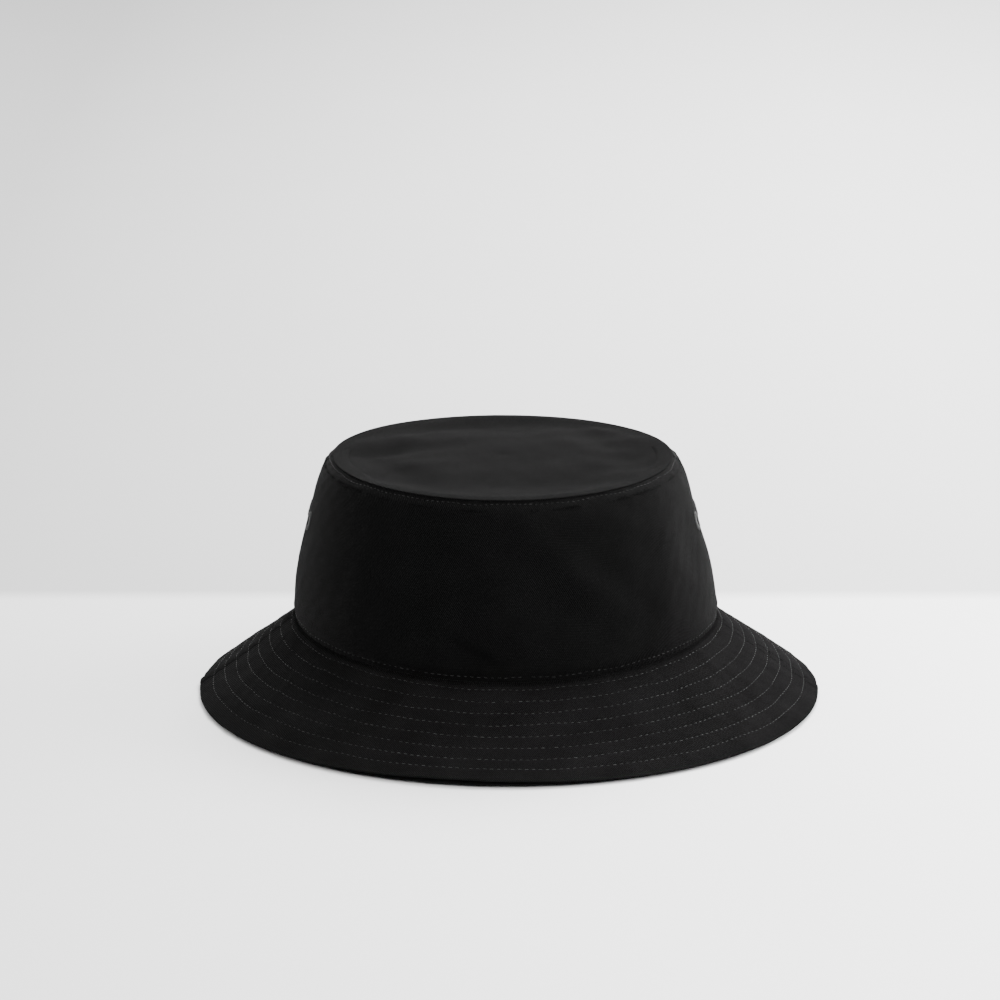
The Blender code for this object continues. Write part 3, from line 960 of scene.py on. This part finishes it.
def merge_middle(piece):
    """Joins the points that lie together at the middle of the tip."""
    edited = bmesh.new()
    edited.from_mesh(piece.data)
    bmesh.ops.remove_doubles(edited, verts=edited.verts, dist=0.000002)
    edited.to_mesh(piece.data)
    edited.free()


UPPER_COLLAR = 0.00115  # how deep behind the wall's face the brim's two cloths run up inside
LOWER_COLLAR = 0.00190
COLLAR_HEIGHT = 0.0075
COLLAR_FOOT = 0.0006


def brim_half(side):
    """Half of the brim's upper cloth: a collar inside the crown, the brim, and a turned-in edge."""
    heading = SIDES[side]
    angle = panel_angles(heading, PANEL_STEP * 0.95, BRIM_RADIUS, SEAM_GAP)
    high = BRIM_LENGTH - FOLD
    rows = [0.0003, 0.0007] + rows_between(0.0011, high, 0.0012, [place for place, _ in brim_rows()])
    collar, collar_distances = collar_columns(angle, UPPER_COLLAR)
    edge = fold_over(brim, brim_base, angle, high, 1, FOLD, BRIM_TUCK, -1)
    outer = np.stack(collar + [brim(angle, row) for row in rows] + edge, axis=1)
    distances = collar_distances + rows + tuck_distances(high, 1, FOLD, BRIM_TUCK)
    inner = outer + CLOTH * grid_normals(outer)
    place = panel_place(angle, heading * HALF / 2, distances, BASE_RADIUS, BRIM_ALONG)
    piece = cloth_mesh(f"brim_upper_{side}", outer[:, ::-1], inner[:, ::-1], BRIM_TWILL, place[:, ::-1])
    belongs(piece, "twill", f"brim_top_{side}")


def collar_columns(angle, depth):
    """Columns up the inside of the crown wall, at a depth behind its face, down to the base seam."""
    rises = np.linspace(COLLAR_HEIGHT, COLLAR_FOOT, 7)
    columns = []
    for rise in rises:
        columns.append(wall_form(angle, rise) - depth * normal_of(wall_form, angle, rise))
    return columns, [-(rise + COLLAR_FOOT) for rise in rises]


def brim_underside(side):
    """Half of the brim's lower cloth, with its edge turned up against the upper cloth's."""
    heading = SIDES[side]
    angle = panel_angles(heading, PANEL_STEP * 1.1, BRIM_RADIUS, SEAM_GAP)
    high = BRIM_LENGTH - FOLD - 0.0007
    rows = rows_between(0.0012, high, 0.0014, [place for place, _ in brim_rows()])
    collar, collar_distances = collar_columns(angle, LOWER_COLLAR)
    edge = fold_over(under, brim_lay, angle, high, 1, FOLD, BRIM_TUCK)
    outer = np.stack(collar + [under(angle, row) for row in rows] + edge, axis=1)
    outer[..., 2] = np.maximum(outer[..., 2], 0.0001)
    distances = collar_distances + rows + tuck_distances(high, 1, FOLD, BRIM_TUCK)
    inner = outer - CLOTH * grid_normals(outer)
    inner[..., 2] = np.maximum(inner[..., 2], 0.0002)
    place = panel_place(angle, heading * HALF / 2, distances, BASE_RADIUS, BRIM_ALONG)
    piece = cloth_mesh(f"brim_lower_{side}", outer, inner, BRIM_TWILL, place)
    belongs(piece, "twill", f"brim_under_{side}")


INTERLINING_DEPTH = 0.00074
INTERLINING_THICKNESS = 0.0003


def interlining(side):
    """The stiff layer between the brim's two cloths."""
    heading = SIDES[side]
    angle = panel_angles(heading, 0.0018, BRIM_RADIUS, 0.001)
    rows = list(np.linspace(0.0012, BRIM_LENGTH - 0.0075, 40))
    turn, run = angle[:, None], np.array(rows)[None, :]
    depth = (INTERLINING_DEPTH - 0.9 * quilting(turn, run))[..., None]
    up = normal_of(brim_lay, turn, run, -1)
    outer = brim_lay(turn, run) - depth * up
    inner = outer - INTERLINING_THICKNESS * up
    place = panel_place(angle, heading * HALF / 2, rows, BASE_RADIUS, BRIM_ALONG)
    piece = cloth_mesh(f"interlining_{side}", outer[:, ::-1], inner[:, ::-1], INTERLINING, place[:, ::-1])
    belongs(piece, "interlining", f"brim_interlining_{side}")


# Thin strips inside the hat

def strip(name, angle, rows, depth, thickness, material, closed, ripple=None):
    """A thin strip on the inside of the crown wall, with rounded edges. Its outer face is at this depth."""
    turn, rise = np.meshgrid(angle, rows, indexing="ij")
    edge = np.minimum(rise - rows[0], rows[-1] - rise)
    if not closed:
        arc, other_arc = (turn - angle[0]) * BASE_RADIUS, (angle[-1] - turn) * BASE_RADIUS
        edge = np.minimum(edge, np.minimum(arc, other_arc))
    half = thickness / 2
    inset = np.clip(edge, half * 0.02, half)
    spread = (np.sqrt(half**2 - (half - inset) ** 2))[..., None]
    middle = np.full(turn.shape, depth + half)
    if ripple is not None:
        middle = middle + ripple(turn, rise)
    normal = normal_of(wall_form, turn, rise)
    centre = wall_form(turn, rise) + wall_sag(turn, rise) - middle[..., None] * normal
    place = np.stack([turn * BASE_RADIUS, rise], axis=-1)
    outer, inner = centre + spread * normal, centre - spread * normal
    return cloth_mesh(name, outer, inner, material, place, closed=closed)


def edged_rows(low, high, count, thickness):
    """Rows from low to high, with extra ones where the edges are rounded."""
    edge = [thickness * share for share in (0, 0.03, 0.12, 0.28, 0.5)]
    middle = list(np.linspace(low + thickness, high - thickness, count))
    return [low + step for step in edge] + middle + [high - step for step in edge[::-1]]


BAND_LOW = 0.0005
BAND_HIGH = BAND_LOW + BAND_WIDTH


def band_ripple(turn, rise):
    """The sweatband stands away from the wall towards its free top edge, a little unevenly."""
    free = ease(rise, BAND_LOW + 0.004, BAND_HIGH)
    join = bump(turn_between(turn, math.radians(84)) * BASE_RADIUS, 0.0006)
    return free * (0.00015 + 0.00012 * unevenness(turn, rise, 81, 20, 8)) + 0.0002 * join


def sweatband():
    angle = np.arange(480) / 480 * TAU
    rows = edged_rows(BAND_LOW, BAND_HIGH, 26, BAND_THICKNESS)
    piece = strip("sweatband_cloth", angle, rows, BAND_DEPTH, BAND_THICKNESS, BAND, True, band_ripple)
    belongs(piece, "band", "sweatband")


TAPE_THICKNESS = 0.0004
TAPE_DEPTH = 0.00105
TIP_TAPE_LOW = WALL_LENGTH - 0.0117
TIP_TAPE_HIGH = WALL_LENGTH - 0.0004


def tip_tape():
    angle = np.arange(400) / 400 * TAU
    rows = edged_rows(TIP_TAPE_LOW, TIP_TAPE_HIGH, 10, TAPE_THICKNESS)
    piece = strip("tip_tape", angle, rows, TAPE_DEPTH, TAPE_THICKNESS, TAPE, True)
    belongs(piece, "tape", "tip_seam_tape")


SIDE_TAPE_WIDTH = 0.012


def side_tape(side, middle):
    half_width = SIDE_TAPE_WIDTH / 2 / BASE_RADIUS
    edges = [half_width * share for share in (0.001, 0.006, 0.02, 0.045, 0.1)]
    inside = list(np.linspace(-0.85 * half_width, 0.85 * half_width, 14))
    angle = [-half_width + step for step in edges] + inside + [half_width - step for step in edges[::-1]]
    rows = edged_rows(BAND_HIGH + 0.0012, TIP_TAPE_LOW - 0.0006, 30, TAPE_THICKNESS)
    turn = middle + np.array(angle)
    piece = strip(f"side_tape_{side}", turn, rows, TAPE_DEPTH, TAPE_THICKNESS, TAPE, False)
    belongs(piece, "tape", f"side_seam_tape_{side}")


# Stitches

def stitches(surface, form, facing, place, seed, count, radius=THREAD_RADIUS, cover=0.7):
    """Points and faces of a row of stitches: each an arched thread from one needle hole to the next."""
    rng = np.random.default_rng(seed)
    share = np.linspace(-1, 1, 9)[None, :]
    middle = (np.arange(count) + 0.5)[:, None] * TAU / count
    angle = middle + share * cover * HALF / count
    slant = rng.normal(0, 0.00009, (count, 1)) * share + rng.normal(0, 0.00006, (count, 1))
    along = place + row_wander(angle, seed) + slant
    normal = normal_of(form, angle, along, facing)
    lift = rng.normal(0.00002, 0.00006, (count, 1)) - 0.00038 * share**4
    centre = surface(angle, along) + lift[..., None] * normal
    aside = np.cross(unit(np.gradient(centre, axis=1)), normal)
    size = radius * rng.normal(1, 0.06, (count, 1)) * (1 - 0.4 * share**6)
    turn = np.arange(6) / 6 * TAU
    ring = aside[:, :, None] * np.cos(turn)[:, None] + normal[:, :, None] * np.sin(turn)[:, None]
    points = centre[:, :, None] + size[..., None, None] * ring
    index = np.arange(count * 9 * 6).reshape(count, 9, 6)
    after = np.roll(index, -1, axis=2)
    sides = np.stack([index[:, :-1], index[:, 1:], after[:, 1:], after[:, :-1]], axis=-1)
    caps = np.concatenate([index[:, 0], index[:, -1, ::-1]])
    return points.reshape(-1, 3), [sides.reshape(-1, 4), caps]


def stitch_piece(name, rows, material, node):
    """One object from the needle-side and bobbin-side stitches of a row."""
    points, faces, offset = [], [], 0
    for some_points, some_faces in rows:
        points.append(some_points)
        faces += [part + offset for part in some_faces]
        offset += len(some_points)
    points = np.concatenate(points)
    piece = add_mesh(name, points, faces, material, points[:, :2])
    belongs(piece, "thread", node)


def inside_face(depth):
    """A surface on the inside of the wall at this depth."""
    def surface(angle, rise):
        normal = normal_of(wall_form, angle, rise)
        return wall_form(angle, rise) + wall_sag(angle, rise) - depth * normal
    return surface


def wall_stitches():
    band_face = inside_face(BAND_DEPTH + BAND_THICKNESS)
    tape_face = inside_face(TAPE_DEPTH + TAPE_THICKNESS)
    count = stitch_count(BASE_RADIUS)
    nodes = "tip_topstitch", "crown_base_topstitch", "crown_edge_topstitch"
    for (name, place, seed), node in zip(wall_rows(), nodes):
        inner = tape_face if node == "tip_topstitch" else band_face
        needle = stitches(wall, wall_form, 1, place, seed, count)
        bobbin = stitches(inner, wall_form, -1, place, seed, count)
        # The lowest row takes the darker thread, painted shade for the shade under the wall's lip
        stitch_piece(name, [needle, bobbin], PAINTED_SHADE_THREAD if place == EDGE_STITCH_RISE else THREAD, node)


def brim_stitches():
    for number, (place, seed) in enumerate(brim_rows(), 1):
        count = stitch_count(BASE_RADIUS + BRIM_ALONG.x * place)
        needle = stitches(brim, brim_base, -1, place, seed, count)
        bobbin = stitches(under, brim_lay, 1, place, seed, count)
        stitch_piece(f"quilting_row_{number}", [needle, bobbin], THREAD, f"brim_stitch_row_{number}")


# Eyelets

EYELET_WRAPS = 46
EYELET_RING = 0.00320  # from the eyelet's middle to the middle of its thread


def eyelet(name, spot):
    """A hole edged in buttonhole stitch: thread wrapped closely round a ring."""
    around = np.linspace(0, TAU, EYELET_WRAPS * 8, endpoint=False)[:, None]
    section = np.linspace(0, TAU, 20, endpoint=False)[None, :]
    rng = np.random.default_rng(len(name))
    wrap = np.abs(np.cos(around * EYELET_WRAPS / 2 + 0.35 * np.sin(section)))
    uneven = 1 + 0.05 * np.interp(around, np.linspace(0, TAU, 60), rng.normal(0, 1, 60))
    width = (0.00098 + 0.00014 * wrap) * uneven
    height = (0.00060 + 0.00016 * wrap) * uneven
    reach = EYELET_RING + width * np.cos(section) * (1 + 0.12 * np.cos(section))
    rise = height * np.sin(section) - 0.0001
    radius = BASE_RADIUS + WALL_ALONG.x * EYELET_RISE
    angle = spot + reach * np.cos(around) / radius
    along = EYELET_RISE + reach * np.sin(around)
    normal = normal_of(wall_base, angle, along)
    points = wall(angle, along) + rise[..., None] * normal
    index = np.arange(points[..., 0].size).reshape(points.shape[:2])
    after, over = np.roll(index, -1, axis=0), np.roll(index, -1, axis=1)
    both = np.roll(after, -1, axis=1)
    faces = np.stack([index, after, both, over], axis=-1).reshape(-1, 4)
    flat = np.stack([reach * np.cos(around), reach * np.sin(around)], axis=-1).reshape(-1, 2)
    piece = add_mesh(f"eyelet_ring_{name}", points.reshape(-1, 3), [faces], EYELET_THREAD, flat)
    belongs(piece, "eyelet_thread", f"eyelet_{name}")


# The care label

label_low, label_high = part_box("care_label")
LABEL_WIDTH = label_high.x - label_low.x
LABEL_DROP = label_high.z - label_low.z
LABEL_PLY = 0.00018
LABEL_FOLD = 0.00013  # half the gap between the ribbon's two layers


def label_path():
    """The middle of the ribbon seen from the side, as (y, z): from behind the sweatband to its hem."""
    hinge_y, hinge_z = (label_low.y + label_high.y) / 2, label_high.z
    back = math.radians(90)
    top = wall_form(np.array([back]), np.array([BAND_HIGH]))[0]
    normal = normal_of(wall_form, np.array([back]), np.array([BAND_HIGH]))[0]
    behind = top - (BAND_DEPTH - 0.00035) * normal
    path = [(behind[1] + 0.0009, behind[2] - 0.0045), (behind[1] + 0.0003, behind[2] - 0.0015)]
    path += [(behind[1], behind[2] + 0.0004), (behind[1] - 0.0008, behind[2] + 0.0012)]
    path += [(hinge_y + 0.0014, hinge_z + 0.0022), (hinge_y + 0.0003, hinge_z + 0.0010)]
    path.append((hinge_y, hinge_z - 0.0004))
    for share in np.linspace(0.1, 1.0, 12):
        path.append((hinge_y - 0.0002 * math.sin(HALF * share), hinge_z - (LABEL_DROP - 0.0004) * share))
    return smooth_path(np.array(path), 70)


def smooth_path(points, count):
    """A path through these points, rounded and evenly spaced."""
    for _ in range(3):
        low, high = points[:-1] * 0.75 + points[1:] * 0.25, points[:-1] * 0.25 + points[1:] * 0.75
        middle = np.stack([low, high], axis=1).reshape(-1, 2)
        points = np.concatenate([points[:1], middle, points[-1:]])
    lengths = np.concatenate([[0], np.cumsum(np.linalg.norm(np.diff(points, axis=0), axis=1))])
    even = np.linspace(0, lengths[-1], count)
    return np.stack([np.interp(even, lengths, points[:, 0]), np.interp(even, lengths, points[:, 1])], axis=1)


def care_label():
    """A blank ribbon folded double at its hem, with both ends sewn in behind the sweatband."""
    path = label_path()
    heading = unit(np.gradient(path, axis=0))
    aside = np.stack([heading[:, 1], -heading[:, 0]], axis=1)
    front, back = path + aside * LABEL_FOLD, path - aside * LABEL_FOLD
    turn = np.linspace(0, HALF, 7)[1:-1, None]
    hem = path[-1] + LABEL_FOLD * (aside[-1] * np.cos(turn) + heading[-1] * np.sin(turn))
    loop = np.concatenate([front, hem, back[::-1]])
    lengths = np.concatenate([[0], np.cumsum(np.linalg.norm(np.diff(loop, axis=0), axis=1))])
    across = np.linspace(-0.5, 0.5, 31)[:, None] * LABEL_WIDTH
    hanging = ease(label_high.z - loop[:, 1], 0.0, LABEL_DROP)[None, :]
    bow = 0.0006 * hanging * (across / LABEL_WIDTH * 2) ** 2 + 0.0003 * hanging * np.sin(across * 300)
    middle = np.stack(np.broadcast_arrays(across, loop[None, :, 0] - bow, loop[None, :, 1]), axis=-1)
    normal = grid_normals(middle)
    outer, inner = middle + normal * LABEL_PLY / 2, middle - normal * LABEL_PLY / 2
    place = np.stack(np.broadcast_arrays(across, lengths[None, :]), axis=-1)
    piece = cloth_mesh("care_label_ribbon", outer, inner, RIBBON, place)
    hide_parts("care_label")
    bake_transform(piece)


# The studio

FLOOR_LINE = 0.153  # where the table ends and the darker ground begins
SKY_STRENGTH = 4.1


def studio():
    bpy.ops.mesh.primitive_plane_add(size=24.0, location=(0, 0, 0))
    floor = bpy.context.object
    floor.name = "studio_floor"
    floor.data.materials.append(studio_floor("matt_white_painted_shade", FLOOR_LINE, 0.97, 0.61))
    world = bpy.data.worlds.new("studio")
    bpy.context.scene.world = world
    tree = Nodes(world)
    rightward = tree.dot(tree.nodes.new("ShaderNodeTexCoord").outputs["Generated"], (1, 0, 0))
    side = tree.math("MULTIPLY_ADD", rightward, 0.5, 0.5)
    background = tree.nodes["Background"]
    tree.links.new(tree.ramp(side, (0.0, 0.24), (0.5, 0.70), (1.0, 1.0)), background.inputs["Color"])
    background.inputs["Strength"].default_value = SKY_STRENGTH


def softbox(name, place, target, size, power):
    """A rectangular area light aimed at a point."""
    light = bpy.data.lights.new(name, "AREA")
    light.shape = "RECTANGLE"
    light.size, light.size_y = size
    light.energy = power
    lamp = bpy.data.objects.new(name, light)
    lamp.location = place
    lamp.rotation_euler = (Vector(target) - Vector(place)).to_track_quat("-Z", "Y").to_euler()
    bpy.context.collection.objects.link(lamp)


CAMERA_DISTANCE = 2.0
CAMERA_TILT = math.radians(15.11)
CAMERA_LENS = 157.8


def camera():
    """A long lens in front of the hat, looking a little down."""
    made = bpy.data.cameras.new("camera")
    made.lens = CAMERA_LENS
    made.sensor_width = 36.0
    lens = bpy.data.objects.new("camera", made)
    aim = Vector((LEAN * 1.4, BRIM_FORWARD, TIP_HEIGHT * 0.808))
    away = Vector((0.0, -math.cos(CAMERA_TILT), math.sin(CAMERA_TILT)))
    lens.location = aim + away * CAMERA_DISTANCE
    lens.rotation_euler = (-away).to_track_quat("-Z", "Y").to_euler()
    bpy.context.collection.objects.link(lens)
    bpy.context.scene.camera = lens


for one_side in SIDES:
    crown_side(one_side)
    brim_half(one_side)
    brim_underside(one_side)
    interlining(one_side)
crown_top()
sweatband()
tip_tape()
side_tape("right", 0.0)
side_tape("left", HALF)
wall_stitches()
brim_stitches()
for eyelet_name, eyelet_spot in eyelet_spots().items():
    eyelet(eyelet_name, eyelet_spot)
care_label()
studio()
softbox("overhead", (0.45, 1.25, 1.8), (0, 0, 0.05), (1.4, 1.0), 125)
softbox("right", (2.1, 0.4, 1.3), (0.2, 0, 0.0), (1.2, 1.4), 60)
camera()
